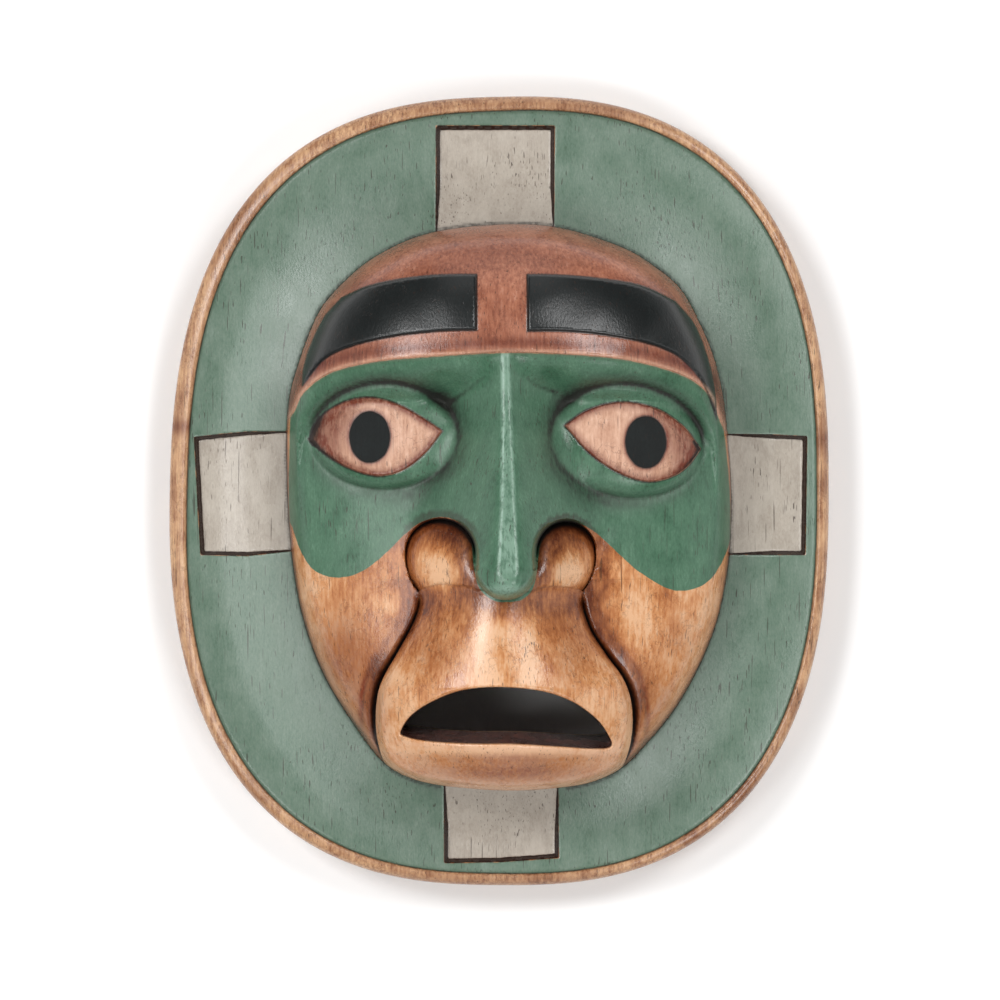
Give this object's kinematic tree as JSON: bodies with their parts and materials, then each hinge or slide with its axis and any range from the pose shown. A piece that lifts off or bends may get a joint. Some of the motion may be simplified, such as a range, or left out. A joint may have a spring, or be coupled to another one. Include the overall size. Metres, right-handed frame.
{
  "type": "moon mask",
  "caption": "Carved and painted wooden moon mask: a deep-cut face with an open mouth inside a broad oval ring with sunk panels, hollow at the back.",
  "frame": {"origin": "middle of the flat back of the ring, where the mask lies on the ground", "axes": "+Z out of the face, +Y towards the forehead, +X to the right as the mask is looked at"},
  "size_m": [0.2748, 0.3288, 0.1111],
  "materials": {
    "painted_wood": "satin paint and oiled bare wood with a dark wash in the cuts"
  },
  "bodies": {
    "root": {"moon_mask": "painted_wood"}
  },
  "joints": []
}
